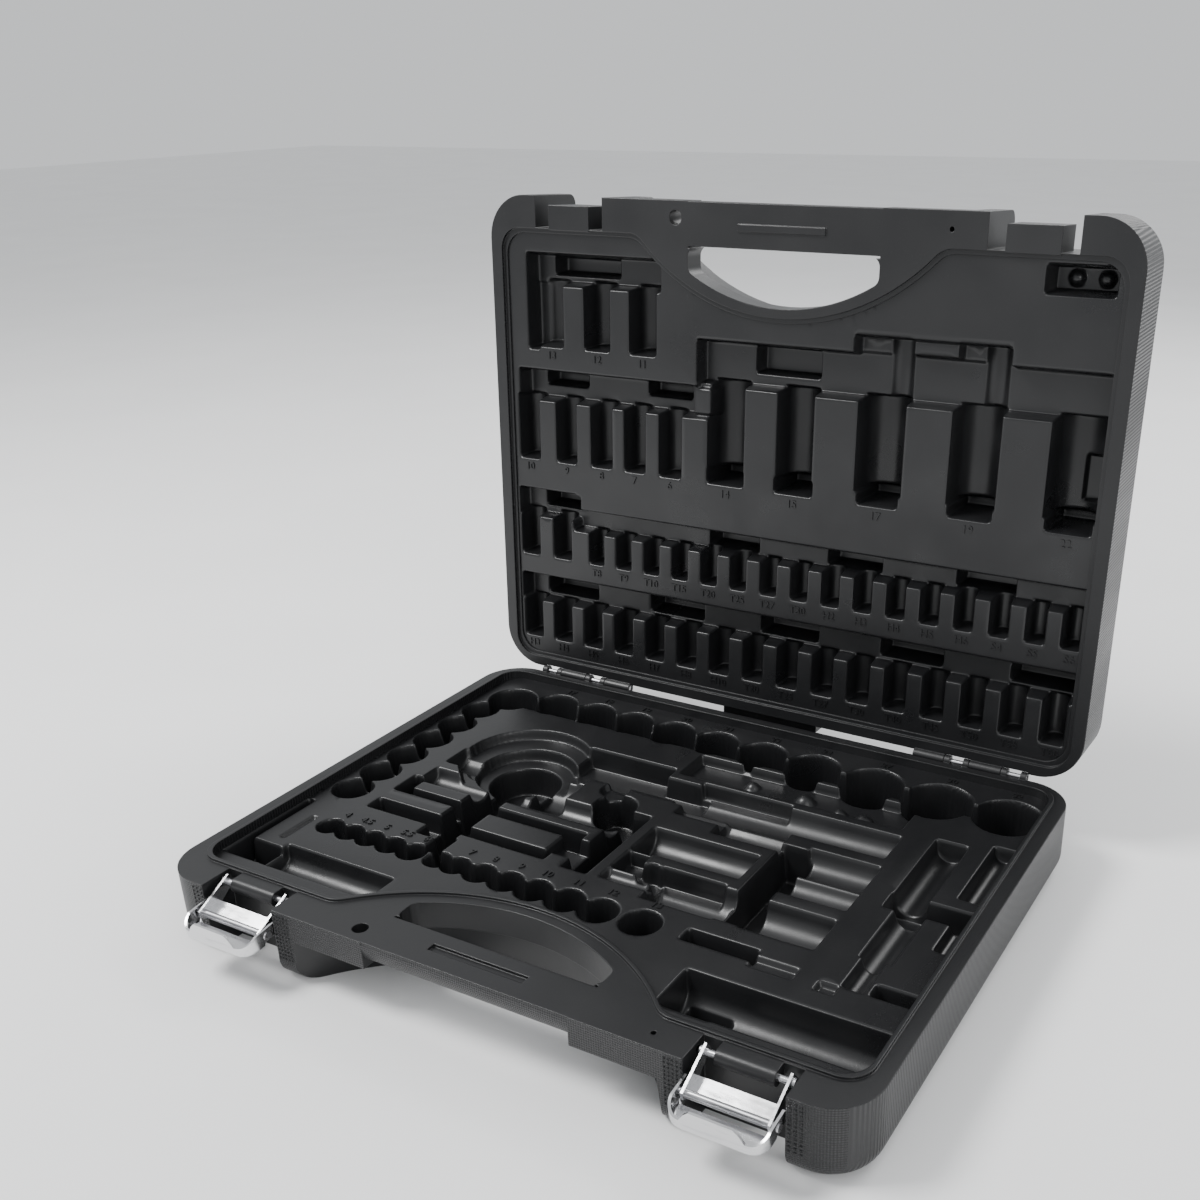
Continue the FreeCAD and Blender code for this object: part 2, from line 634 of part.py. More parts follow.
def latch_link(title):
    """A channel of sheet steel: two ears round the pins and a web behind them."""
    body = doc.addObject("PartDesign::Body", title)
    reach, metal = size("link_length"), size("sheet")
    ear, web_start, web_end, web_back = 3.4, 9.6, 1.5, 4.2
    far, through = 10, "2 * link_width"
    side = [(ear, -ear * 0.6), (ear * 0.7, ear), (-reach - ear * 0.6, ear), (-reach - ear, 0),
            (-reach - ear * 0.6, -ear * 0.8), (-reach + web_end, -web_back), (-web_start, -web_back)]
    inner = [(far, -web_back + metal), (far, far), (-reach - far, far), (-reach - far, -web_back + metal)]
    gap = [(far, -far), (far, far), (-web_start, far), (-web_start, -far)]
    play = size("running_play")
    swept(body, "Pad", "ears", "YZ_Plane", outline(side), "link_width")
    swept(body, "Pocket", "channel", "YZ_Plane", outline(inner), "link_width - 2 * sheet")
    swept(body, "Pocket", "pin_gap", "YZ_Plane", outline(gap), "link_width - 2 * sheet")
    swept(body, "Pocket", "pin_bore", "YZ_Plane", circle(0, 0, size("latch_pin_radius") + play), through)
    swept(body, "Pocket", "rivet_bore", "YZ_Plane", circle(-reach, 0, size("rivet_radius") + play),
          through)
    return body


def latch_lever(title):
    """A dished lever: floor, side flanges round the link, and a lip that hooks over."""
    body = doc.addObject("PartDesign::Body", title)
    reach, metal = size("lever_length"), size("sheet")
    drop, rise, lip = size("lever_drop"), size("lever_rise"), size("lip_rise")
    back, nose, floor_end, far = 5.5, 4, 2.2, 20
    side = [(back, -2), (back, rise - 1), (back - 1.5, rise), (-reach + 5, rise + 0.6),
            (-reach, lip), (-reach, -drop + nose), (-reach + nose, -drop), (-floor_end, -drop)]
    inner = [(far, -drop + metal), (far, far), (-reach + metal, far),
             (-reach + metal, -drop + nose + 0.5), (-reach + nose + 0.5, -drop + metal)]
    swept(body, "Pad", "dish", "YZ_Plane", outline(side), "lever_width")
    swept(body, "Pocket", "hollow", "YZ_Plane", outline(inner), "lever_width - 2 * sheet")
    half_wide, half_narrow, step = size("lever_width") / 2 + 2, size("lip_narrow") / 2, rise - 1.2
    for name, sign in (("lip_left", -1), ("lip_right", 1)):
        trim = [(sign * half_narrow, lip + 1), (sign * half_wide, lip + 1),
                (sign * half_wide, step), (sign * (half_wide - 2.6), step)]
        swept(body, "Pocket", name, "XZ_Plane", outline(trim), "2 * lever_length + 2")
    slot_half, slot_near, slot_wide = 9, metal + 0.6, 2.8
    slot = [(-slot_half, -reach + slot_near), (slot_half, -reach + slot_near),
            (slot_half, -reach + slot_near + slot_wide), (-slot_half, -reach + slot_near + slot_wide)]
    swept(body, "Pocket", "slot", "XY_Plane", outline(slot), "3 * lever_drop")
    swept(body, "Pocket", "rivet_bore", "YZ_Plane", circle(0, 0, size("rivet_radius")),
          "2 * lever_width")
    return body


def headed_pin(title, radius, length, head):
    """A pin along X with a low flat head at each end."""
    body = doc.addObject("PartDesign::Body", title)
    r, half, rim = size(radius), length / 2, size(radius) + 0.7
    profile = [(-half, 0), (-half, rim), (-half + head, rim), (-half + head, r),
               (half - head, r), (half - head, rim), (half, rim), (half, 0)]
    sketch = drawn(body, "pin", "XY_Plane", outline(profile))
    turn = body.newObject("PartDesign::Revolution", "pin")
    turn.Profile = sketch
    turn.ReferenceAxis = (sketch, ["H_Axis"])
    turn.Angle = 360
    return body


# ---------------------------------------------------------------- films

def label_film():
    """The printed sheet on the lid's outer face, its near edge cut round the handle."""
    film_low, film_high = "-lid_height + 0.1", "-lid_height + 0.1 + film"
    sheet_box = LID.box("label_sheet", "-label_half", "label_half", "label_near", "label_far",
                        film_low, film_high)
    doc.recompute()
    soft = rounded("label_rounded", sheet_box, size("label_radius"), upright_edges(sheet_box.Shape))
    arch = LID.post("label_arch", 0, "-arch_centre", "shoulder_radius + 3.5", "-lid_height - 1",
                    "-lid_height + 2")
    return cut("label_cut", soft, arch)


def badge_film():
    """The printed oval line in the badge recess."""
    low, high = "-lid_height + 1 - film", "-lid_height + 1"
    outer = oval(LID, "badge_outer", "badge_long", "badge_short", low, high)
    inner = oval(LID, "badge_inner", "badge_long - badge_line", "badge_short - badge_line",
                 f"{low} - 1", f"{high} + 1")
    return cut("badge_cut", outer, inner)


# ---------------------------------------------------------------- assembly

def turned(y, z, degrees):
    return Placement(Vector(0, y, z), Rotation(Vector(1, 0, 0), degrees))


def lid_place():
    """From the lid's own frame (rim up, opened flat) to its resting angle on the hinge."""
    axis = size("case_depth") / 2 + size("hinge_gap")
    to_axis = Placement(Vector(0, axis, 0), Rotation())
    return turned(axis, size("base_height"), 180 - size("open_angle")) * to_axis


def show(item, title, place):
    item.Label = title
    item.Placement = place * item.Placement
    return item


def build():
    base_place = Placement(Vector(0, 0, size("base_height")), Rotation())
    parts = [show(base_shell(), "base_shell", base_place),
             show(tray(BASE, base_pockets(), base_domes()), "base_tray", base_place),
             show(lid_shell(), "lid_shell", lid_place()),
             show(tray(LID, lid_pockets(), lid_bosses()), "lid_tray", lid_place()),
             show(label_film(), "label_film", lid_place()),
             show(badge_film(), "badge_line", lid_place())]
    reach = size("hinge_start") + size("lid_knuckle") + size("base_knuckle")
    hinge_y = size("case_depth") / 2 + size("hinge_gap")
    pin_y = size("pin_inset") - size("case_depth") / 2
    pin_z = size("base_height") - size("pin_drop")
    arm = math.radians(size("link_angle"))
    pivot_y = pin_y + size("link_length") * math.cos(arm)
    pivot_z = pin_z + size("link_length") * math.sin(arm)
    for side, word in ((-1, "left"), (1, "right")):
        pin_length = 2 * (size("lid_knuckle") + size("base_knuckle")) - size("pin_short")
        hinge = doc.addObject("Part::Cylinder", f"hinge_pin_{word}")
        bind(hinge, Radius="hinge_pin_radius")
        hinge.Height = pin_length
        start = Vector(side * reach - pin_length / 2, hinge_y, size("base_height"))
        hinge.Placement = Placement(start, Rotation(Vector(0, 1, 0), 90))
        hinge.Label = f"hinge_pin_{word}"
        x = Placement(Vector(side * size("latch_place"), 0, 0), Rotation())
        link = latch_link(f"latch_link_{word}")
        lever = latch_lever(f"latch_lever_{word}")
        pin = headed_pin(f"latch_pin_{word}", "latch_pin_radius",
                         size("link_width") + 2 * size("pin_stand"), size("pin_stand") - 0.3)
        rivet = headed_pin(f"latch_rivet_{word}", "rivet_radius",
                           size("lever_width") + 2 * size("rivet_stand"), size("rivet_stand"))
        doc.recompute()
        show(link, f"latch_link_{word}", x * turned(pin_y, pin_z, size("link_angle") - 180))
        show(lever, f"latch_lever_{word}", x * turned(pivot_y, pivot_z, size("lever_angle") - 180))
        show(pin, f"latch_pin_{word}", x * turned(pin_y, pin_z, 0))
        show(rivet, f"latch_rivet_{word}", x * turned(pivot_y, pivot_z, 0))
        parts += [hinge, link, lever, pin, rivet]
    return parts


def check(parts):
    doc.recompute()
    for item in doc.Objects:
        if "Invalid" in item.State or "Error" in item.State:
            raise RuntimeError(f"{item.Name} did not build")
    for part in parts:
        if part.Shape.isNull() or not part.Shape.isValid():
            raise RuntimeError(f"{part.Label} has no valid shape")


def export(parts):
    os.makedirs("parts", exist_ok=True)
    for part in parts:
        part.Shape.exportStep(f"parts/{part.Label}.step")
        print(part.Label, len(part.Shape.Solids), "solid", round(part.Shape.Volume / 1000, 1), "cm3")


made_parts = build()
check(made_parts)
export(made_parts)
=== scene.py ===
import json
import math

import bmesh
import bpy
import numpy as np
from mathutils import Matrix, Vector
from mathutils.bvhtree import BVHTree


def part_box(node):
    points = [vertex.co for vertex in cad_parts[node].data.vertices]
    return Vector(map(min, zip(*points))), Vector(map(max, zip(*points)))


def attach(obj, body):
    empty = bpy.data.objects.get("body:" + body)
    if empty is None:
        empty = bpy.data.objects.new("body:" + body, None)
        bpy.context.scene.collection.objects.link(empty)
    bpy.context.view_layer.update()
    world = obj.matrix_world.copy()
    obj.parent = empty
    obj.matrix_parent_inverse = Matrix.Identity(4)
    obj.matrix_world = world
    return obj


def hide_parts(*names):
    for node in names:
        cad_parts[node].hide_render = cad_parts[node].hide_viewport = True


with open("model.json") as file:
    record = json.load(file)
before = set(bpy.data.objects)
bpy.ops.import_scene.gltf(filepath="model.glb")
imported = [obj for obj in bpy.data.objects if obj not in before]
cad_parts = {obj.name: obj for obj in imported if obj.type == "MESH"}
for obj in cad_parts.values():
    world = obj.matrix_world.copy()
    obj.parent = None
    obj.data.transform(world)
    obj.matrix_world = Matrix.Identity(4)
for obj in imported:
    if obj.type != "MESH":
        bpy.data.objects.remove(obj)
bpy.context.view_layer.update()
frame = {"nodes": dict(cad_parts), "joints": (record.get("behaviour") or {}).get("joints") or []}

# An open socket set case of black blow moulded plastic. Metres, in the frame of the CAD.
# Each half is also worked on in its own frame: rim up at z = 0, x along the hinge, and s,
# the distance from the handle edge towards the hinge.

MM = 0.001
NODES = frame["nodes"]
JOINTS = {joint["name"]: joint for joint in frame["joints"]}
HINGE = Vector(JOINTS["lid_hinge"]["pos_m"])
OPEN_ANGLE = math.radians(JOINTS["lid_hinge"]["range_deg"][1])
BASE_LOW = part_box("base_shell")[0]
HALF_DEPTH = -BASE_LOW.y
BASE_DECK = 4 * MM
LID_DECK = 3 * MM


class Half:
    """One half of the case: its body, the way into its own frame, and where s is there."""

    def __init__(self, body, into_row):
        self.body = body
        self.into_row = into_row
        self.out_of_row = into_row.inverted()

    def y(self, s):
        return s - HALF_DEPTH if self.body == "base" else HALF_DEPTH - s


def lid_frame():
    """The lid's own frame: opened flat beyond the hinge, then turned up to its rest angle."""
    turn = Matrix.Rotation(math.pi - OPEN_ANGLE, 4, "X")
    return Matrix.Translation(HINGE) @ turn @ Matrix.Translation((0, HINGE.y, 0))


BASE = Half("base", Matrix.Translation((0, 0, HINGE.z)))
LID = Half("lid", lid_frame())


# ---------------------------------------------------------------- shader graphs

class Value:
    """A shader socket that Python's operators extend with Math nodes."""

    def __init__(self, graph, socket):
        self.graph = graph
        self.socket = socket

    def math(self, operation, *others):
        return self.graph.add("ShaderNodeMath", {"operation": operation}, self, *others)

    def __add__(self, other):
        return self.math("ADD", other)

    def __sub__(self, other):
        return self.math("SUBTRACT", other)

    def __mul__(self, other):
        return self.math("MULTIPLY", other)

    def __rsub__(self, other):
        return self.graph.add("ShaderNodeMath", {"operation": "SUBTRACT"}, other, self)

    def __gt__(self, other):
        return self.math("GREATER_THAN", other)

    def __lt__(self, other):
        return self.math("LESS_THAN", other)

    __radd__ = __add__
    __rmul__ = __mul__


class Graph:
    """A new material's nodes; add() makes any node and returns its first or named output."""

    def __init__(self, name):
        self.material = bpy.data.materials.new(name)
        self.material.use_nodes = True
        self.tree = self.material.node_tree
        self.tree.nodes.clear()
        self.object_place = self.add("ShaderNodeTexCoord", {}, output="Object")

    def add(self, kind, settings, *values, output=None, **named):
        node = self.tree.nodes.new(kind)
        for key, setting in settings.items():
            if key == "stops":
                self.set_stops(node, setting)
            else:
                setattr(node, key, setting)
        for key, value in list(enumerate(values)) + list(named.items()):
            self.feed(node, key, value)
        if not node.outputs:
            return None
        return Value(self, node.outputs[output or 0])

    def feed(self, node, key, value):
        name = key.replace("_", " ") if isinstance(key, str) else key
        socket = node.inputs[name]
        if isinstance(value, Value):
            self.tree.links.new(value.socket, socket)
        else:
            socket.default_value = value

    def set_stops(self, node, stops):
        ramp = node.color_ramp
        while len(ramp.elements) < len(stops):
            ramp.elements.new(0.5)
        for element, (position, colour) in zip(ramp.elements, stops):
            element.position = position
            element.color = (*colour, 1)

    def mapped(self, scale=(1, 1, 1), turn=(0, 0, 0), shift=(0, 0, 0)):
        return self.add("ShaderNodeMapping", {}, self.object_place, Scale=scale, Rotation=turn,
                        Location=shift)

    def noise(self, scale, detail=2.0, vector=None, roughness=0.5):
        return self.add("ShaderNodeTexNoise", {}, Vector=vector or self.object_place, Scale=scale,
                        Detail=detail, Roughness=roughness)

    def spread(self, value, low, high, bottom=0.0, top=1.0):
        """Stretches a value from low..high to bottom..top, held at both ends."""
        return self.add("ShaderNodeMapRange", {}, value, low, high, bottom, top)

    def bump(self, height, distance, strength=1.0, normal=None):
        named = {"Normal": normal} if normal else {}
        return self.add("ShaderNodeBump", {}, Height=height, Distance=distance,
                        Strength=strength, **named)

    def finish(self, **inputs):
        shader = self.add("ShaderNodeBsdfPrincipled", {}, **inputs)
        self.add("ShaderNodeOutputMaterial", {}, Surface=shader)
        return self.material


def mix_colour(graph, factor, first, second):
    """A colour between two others, by a factor that is a number or a value."""
    node = graph.tree.nodes.new("ShaderNodeMix")
    node.data_type = "RGBA"
    places = {"Factor_Float": factor, "A_Color": first, "B_Color": second}
    for socket in node.inputs:
        if socket.identifier in places:
            value = places[socket.identifier]
            if isinstance(value, Value):
                graph.tree.links.new(value.socket, socket)
            else:
                socket.default_value = value if isinstance(value, float) else (*value, 1)
    out = next(o for o in node.outputs if o.identifier == "Result_Color")
    return Value(graph, out)


# Where the pressed patterns stop, in the frame of the CAD.
GRIP_PITCH = 1.9 * MM
NOTCH_FAR_SIDE = 168 * MM
BASE_HANDLE_WALL = -139 * MM
LID_HANDLE_WALL = 325 * MM
LID_OUTER_FACE = 190 * MM
SMOOTH_BAND = (120 * MM, 245 * MM)


def faces_along(g, normal, axis, steep=0.75):
    """1 where the surface faces up or down the axis, else 0."""
    parts = g.add("ShaderNodeSeparateXYZ", {}, normal, output=axis)
    return g.add("ShaderNodeMath", {"operation": "ABSOLUTE"}, parts) > steep


def ripple_of(g, value, pitch):
    """A wave of the given pitch, from -1 to 1."""
    return g.add("ShaderNodeMath", {"operation": "SINE"}, value * (2 * math.pi / pitch))


def pressed_grip(g, half):
    """Fine ribs on the side walls and diamonds on the handle wall, as a height."""
    normal = g.add("ShaderNodeTexCoord", {}, output="Normal")
    x, y, z = (g.add("ShaderNodeSeparateXYZ", {}, g.object_place, output=a) for a in "XYZ")
    if half == "base":
        near, thick, handle_wall = y, z, faces_along(g, normal, "Y") * (y < BASE_HANDLE_WALL)
    else:
        near, thick, handle_wall = z, y, faces_along(g, normal, "Z") * (z > LID_HANDLE_WALL)
    outermost = g.add("ShaderNodeMath", {"operation": "ABSOLUTE"}, x) > NOTCH_FAR_SIDE
    ribs = ripple_of(g, near, GRIP_PITCH) * faces_along(g, normal, "X", 0.6) * outermost
    wide = GRIP_PITCH * 1.3
    diamonds = ripple_of(g, x + thick, wide) * ripple_of(g, x - thick, wide) * handle_wall
    height = ribs * 0.8 + diamonds
    if half == "lid":
        low, high = SMOOTH_BAND
        back = faces_along(g, normal, "Y") * (y > LID_OUTER_FACE) * ((z > high) + (z < low))
        fine = ripple_of(g, x + z, GRIP_PITCH) * ripple_of(g, x - z, GRIP_PITCH)
        height = height + fine * back * 0.6
    return height


def moulded_plastic(name, grain=1.0, gloss=0.38, half=None):
    """Black blow moulded polyethylene: fine skin grain, flow streaks, rubbed patches."""
    g = Graph(name)
    cloud = g.noise(14.0, 3.0)
    streaks = g.noise(30.0, 2.0, g.mapped(scale=(1.0, 0.12, 1.0)))
    skin = g.noise(2600.0, 2.0)
    ripple = g.noise(260.0, 3.0)
    rubbed = g.spread(cloud, 0.52, 0.72)
    dust = g.spread(g.noise(900.0, 4.0, roughness=0.7), 0.60, 0.80)
    shade = mix_colour(g, rubbed * 0.7, (0.0085, 0.0087, 0.0095), (0.014, 0.0142, 0.015))
    shade = mix_colour(g, dust * 0.25, shade, (0.07, 0.07, 0.07))
    roughness = g.spread(streaks, 0.3, 0.7, gloss - 0.07, gloss + 0.07) + dust * 0.12
    height = skin * (0.5 * grain) + ripple * 0.7
    rounded = None
    if half:
        rounded = g.add("ShaderNodeBevel", {"samples": 6}, 0.8 * MM)
        rounded = g.bump(pressed_grip(g, half), 0.22 * MM, 0.9, rounded)
    normal = g.bump(height, 0.09 * MM * grain, 0.75, rounded)
    return g.finish(Base_Color=shade, Roughness=roughness, Normal=normal, Specular_IOR_Level=0.5)


def bright_plate(name):
    """Zinc plated pressed steel: smooth, slightly wavy, with faint rubs."""
    g = Graph(name)
    wave = g.noise(60.0, 2.0)
    rubs = g.noise(400.0, 3.0, g.mapped(scale=(0.15, 1.0, 1.0)))
    worn = g.spread(rubs, 0.55, 0.75)
    shade = mix_colour(g, worn, (0.74, 0.74, 0.75), (0.58, 0.58, 0.60))
    roughness = g.spread(rubs, 0.3, 0.8, 0.14, 0.30)
    normal = g.bump(wave + rubs * 0.15, 0.3 * MM, 0.5)
    return g.finish(Base_Color=shade, Metallic=1.0, Roughness=roughness, Normal=normal)


def drawn_steel(name):
    """Drawn wire: fine lines along its length."""
    g = Graph(name)
    lines = g.noise(700.0, 3.0, g.mapped(scale=(0.05, 1.0, 1.0)))
    shade = mix_colour(g, g.spread(lines, 0.4, 0.7), (0.60, 0.60, 0.61), (0.38, 0.38, 0.40))
    roughness = g.spread(lines, 0.3, 0.7, 0.22, 0.42)
    return g.finish(Base_Color=shade, Metallic=1.0, Roughness=roughness,
                    Normal=g.bump(lines, 0.1 * MM, 0.4))


def white_print(name):
    """A thin line of white ink, a little rubbed."""
    g = Graph(name)
    worn = g.spread(g.noise(900.0, 3.0), 0.58, 0.72)
    shade = mix_colour(g, worn * 0.5, (0.72, 0.73, 0.73), (0.30, 0.30, 0.30))
    return g.finish(Base_Color=shade, Roughness=0.4, Normal=g.bump(worn, 0.05 * MM, 0.3))


def printed_label(name):
    """A varnished sheet: white head band with slanted ticks, then green that brightens to one side."""
    g = Graph(name)
    across, up = (g.add("ShaderNodeSeparateXYZ", {}, g.object_place, output=a) for a in "XZ")
    low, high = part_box("label_film")
    height = g.spread(up, low.z, high.z)
    along = g.spread(across, low.x, high.x, 1.0, 0.0)
    sweep = g.spread(g.noise(9.0, 2.0, g.mapped(scale=(1.0, 1.0, 2.2), turn=(0, 0.6, 0))), 0.3, 0.7)
    glow = g.spread(along * 0.9 + (1 - height) * 0.6 + sweep * 0.3, 0.55, 1.5)
    ground = mix_colour(g, glow, (0.0015, 0.012, 0.010), (0.004, 0.135, 0.075))
    slant = g.add("ShaderNodeMath", {"operation": "FRACT"}, across * 14.0 + up * 9.0)
    bar = (slant > 0.94) * (height < 0.55)
    ground = mix_colour(g, bar * 0.4, ground, (0.03, 0.24, 0.16))
    rule = (height > 0.80) * (height < 0.83)
    ticks = g.add("ShaderNodeMath", {"operation": "FRACT"}, across * 42.0 - up * 42.0)
    tick = (ticks > 0.62) * (height > 0.86) * (height < 0.95)
    shade = mix_colour(g, rule * 1.0, ground, (0.004, 0.02, 0.02))
    shade = mix_colour(g, (height > 0.83) * 1.0, shade, (0.60, 0.63, 0.62))
    shade = mix_colour(g, tick * 1.0, shade, (0.16, 0.012, 0.010))
    scuffs = g.spread(g.noise(350.0, 4.0, g.mapped(scale=(0.3, 1, 1))), 0.66, 0.85)
    shade = mix_colour(g, scuffs * 0.12, shade, (0.35, 0.40, 0.38))
    return g.finish(Base_Color=shade, Roughness=scuffs * 0.3 + 0.3,
                    Normal=g.bump(g.noise(50.0), 0.4 * MM, 0.4), Coat_Weight=0.2)


def pale_floor(name):
    """Plain studio floor, faintly cloudy."""
    g = Graph(name)
    cloud = g.spread(g.noise(6.0, 4.0), 0.3, 0.7)
    shade = mix_colour(g, cloud, (0.86, 0.86, 0.86), (0.89, 0.89, 0.89))
    return g.finish(Base_Color=shade, Roughness=0.75, Normal=g.bump(g.noise(400.0), 0.2 * MM, 0.2))


SHELL_PLASTIC = {half: moulded_plastic(f"{half}_shell_plastic", half=half) for half in ("base", "lid")}
TRAY_PLASTIC = moulded_plastic("tray_plastic", grain=0.8, gloss=0.33)
PLATE = bright_plate("latch_plate")
WIRE = drawn_steel("pin_steel")


# ---------------------------------------------------------------- mesh helpers

def new_piece(name, mesh, body, material):
    """Puts a mesh in the scene as a piece that rides on a body."""
    piece = bpy.data.objects.new(name, mesh)
    bpy.context.scene.collection.objects.link(piece)
    mesh.materials.clear()
    mesh.materials.append(material)
    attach(piece, body)
    return piece


def placed(mesh, half):
    """Moves a mesh from its half's own frame into the frame of the CAD."""
    mesh.transform(half.into_row)
    return mesh


# ---------------------------------------------------------------- soft moulded trays

TRAY_STEP = 0.68 * MM
TRAY_LEVELS = 5
RIM_ROUND = 1.3 * MM
WALL_SLOPE = 14.0
WALL_REACH = 2.0 * MM
FLATNESS = 0.04 * MM


def shifted(grid, rows, columns):
    """The grid moved by whole cells, with its edge values carried outwards."""
    padded = np.pad(grid, ((abs(rows), abs(rows)), (abs(columns), abs(columns))), mode="edge")
    r0, c0 = abs(rows) - rows, abs(columns) - columns
    return padded[r0:r0 + grid.shape[0], c0:c0 + grid.shape[1]]


def ball_offsets(radius, step):
    """Cell offsets under a ball and the ball's height over each."""
    reach = int(radius / step)
    for rows in range(-reach, reach + 1):
        for columns in range(-reach, reach + 1):
            away = math.hypot(rows, columns) * step
            if away <= radius:
                yield rows, columns, math.sqrt(radius * radius - away * away) - radius


def rolled(grid, radius, step, sign):
    """Rolls a ball along a height grid: sign 1 lifts it, -1 lowers it, 0 spreads it level."""
    result = grid.copy()
    for rows, columns, drop in ball_offsets(radius, step):
        moved = shifted(grid, rows, columns) + sign * drop
        result = np.minimum(result, moved) if sign < 0 else np.maximum(result, moved)
    return result


def softened(grid, radius, step):
    """Rounds the outer and then the inner edges of a height grid to a radius."""
    rim = rolled(rolled(grid, radius, step, -1), radius, step, 1)
    return rolled(rolled(rim, radius * 0.8, step, 1), radius * 0.8, step, -1)


def drafted(grid, slope, step, passes):
    """Leans upright walls outwards, as a mould needs."""
    for _ in range(passes):
        for rows, columns in ((0, 1), (0, -1), (1, 0), (-1, 0)):
            grid = np.maximum(grid, shifted(grid, rows, columns) - slope * step)
        for rows, columns in ((1, 1), (1, -1), (-1, 1), (-1, -1)):
            grid = np.maximum(grid, shifted(grid, rows, columns) - slope * step * math.sqrt(2))
    return grid


def blurred(grid, passes):
    """Evens out single steps of a height grid."""
    for _ in range(passes):
        grid = (shifted(grid, 0, 1) + grid * 2 + shifted(grid, 0, -1)) / 4
        grid = (shifted(grid, 1, 0) + grid * 2 + shifted(grid, -1, 0)) / 4
    return grid


def heights(node, half, xs, ys):
    """The top of a CAD node over a grid of places in its half's own frame, nan beside it."""
    data = NODES[node].data
    count = len(data.vertices)
    spots = np.empty(count * 3, np.float32)
    data.vertices.foreach_get("co", spots)
    turn = np.array(half.out_of_row)
    spots = spots.reshape(-1, 3) @ turn[:3, :3].T + turn[:3, 3]
    data.calc_loop_triangles()
    corners = np.empty(len(data.loop_triangles) * 3, np.int32)
    data.loop_triangles.foreach_get("vertices", corners)
    tree = BVHTree.FromPolygons(spots.tolist(), corners.reshape(-1, 3).tolist())
    down = Vector((0, 0, -1))
    grid = np.full((len(ys), len(xs)), np.nan)
    start = 5 * MM
    for row, y in enumerate(ys):
        for column, x in enumerate(xs):
            hit = tree.ray_cast(Vector((x, y, start)), down)[0]
            if hit is not None:
                grid[row, column] = hit.z
    return grid


def flat_blocks(grid, size, tolerance):
    """Which size by size blocks are flat enough for one face."""
    rows, columns = (grid.shape[0] - 1) // size, (grid.shape[1] - 1) // size
    part = np.arange(size + 1) / size
    worst = np.zeros((rows, columns))
    corner = grid[:rows * size + 1:size, :columns * size + 1:size]
    a, b = corner[:-1, :-1], corner[:-1, 1:]
    c, d = corner[1:, :-1], corner[1:, 1:]
    for i, u in enumerate(part):
        for j, v in enumerate(part):
            real = grid[i:i + (rows - 1) * size + 1:size, j:j + (columns - 1) * size + 1:size]
            flat = a * (1 - u) * (1 - v) + b * (1 - u) * v + c * u * (1 - v) + d * u * v
            worst = np.maximum(worst, np.abs(real - flat))
    return worst < tolerance


def block_faces(grid, kept, levels, tolerance):
    """Splits a height grid into square faces, large where it is flat, with no gaps."""
    grid = np.where(kept, grid, 1.0)
    taken = np.zeros((grid.shape[0] - 1, grid.shape[1] - 1), bool)
    leaves = []
    for level in range(levels, -1, -1):
        size = 2 ** level
        flat = flat_blocks(grid, size, tolerance) if level else None
        rows, columns = taken.shape[0] // size, taken.shape[1] // size
        free = ~taken[:rows * size, :columns * size].reshape(rows, size, columns, size).any(axis=(1, 3))
        chosen = free & flat[:rows, :columns] if level else free
        spots = np.argwhere(chosen) * size
        whole = np.ones(len(spots), bool)
        for dr in (0, size):
            for dc in (0, size):
                whole &= kept[spots[:, 0] + dr, spots[:, 1] + dc]
        leaves.append((size, spots[whole]))
        spread = np.repeat(np.repeat(chosen, size, 0), size, 1)
        taken[:rows * size, :columns * size] |= spread
    used = np.zeros(grid.shape, bool)
    for size, spots in leaves:
        for dr in (0, size):
            for dc in (0, size):
                used[spots[:, 0] + dr, spots[:, 1] + dc] = True
    return leaves, used


def leaf_loop(used, row, column, size):
    """Used grid places round a square, anticlockwise as seen from above."""
    last_row, last_column = row + size, column + size
    bottom = [(row, c) for c in range(column, last_column) if used[row, c]]
    right = [(r, last_column) for r in range(row, last_row) if used[r, last_column]]
    top = [(last_row, c) for c in range(last_column, column, -1) if used[last_row, c]]
    left = [(r, column) for r in range(last_row, row, -1) if used[r, column]]
    return bottom + right + top + left


def open_edges(faces):
    """Directed edges that only one face has."""
    seen = set()
    for face in faces:
        seen.update(zip(face, face[1:] + face[:1]))
    return {start: end for start, end in seen if (end, start) not in seen}


def tray_mesh(name, grid, kept, xs, ys, floor):
    """A closed solid whose top is the height grid and whose underside is flat."""
    leaves, used = block_faces(grid, kept, TRAY_LEVELS, FLATNESS)
    rows, columns = np.nonzero(used)
    index = np.full(grid.shape, -1)
    index[rows, columns] = np.arange(len(rows))
    slope_y, slope_x = np.gradient(grid, ys[1] - ys[0], xs[1] - xs[0])
    points = np.stack([xs[columns], ys[rows], grid[rows, columns]], 1)
    normals = np.stack([-slope_x[rows, columns], -slope_y[rows, columns], np.ones(len(rows))], 1)
    normals /= np.linalg.norm(normals, axis=1)[:, None]
    faces = []
    for size, spots in leaves:
        if size == 1:
            r, c = spots[:, 0], spots[:, 1]
            quads = np.stack([index[r, c], index[r, c + 1], index[r + 1, c + 1], index[r + 1, c]], 1)
            faces += quads.tolist()
            continue
        for r, c in spots.tolist():
            faces.append([int(index[spot]) for spot in leaf_loop(used, r, c, size)])
    top_count = len(faces)
    follows = open_edges(faces)
    ring = [next(iter(follows))]
    while follows[ring[-1]] != ring[0]:
        ring.append(follows[ring[-1]])
    below = points[ring]
    below[:, 2] = floor
    first, count = len(points), len(ring)
    for i in range(count):
        j = (i + 1) % count
        faces.append([ring[j], ring[i], first + i, first + j])
    faces.append([first + i for i in reversed(range(count))])
    mesh = bpy.data.meshes.new(name)
    mesh.from_pydata(np.concatenate([points, below]).tolist(), [], faces)
    smooth = np.zeros(len(faces), bool)
    smooth[:top_count] = True
    mesh.polygons.foreach_set("use_smooth", smooth)
    return mesh, normals


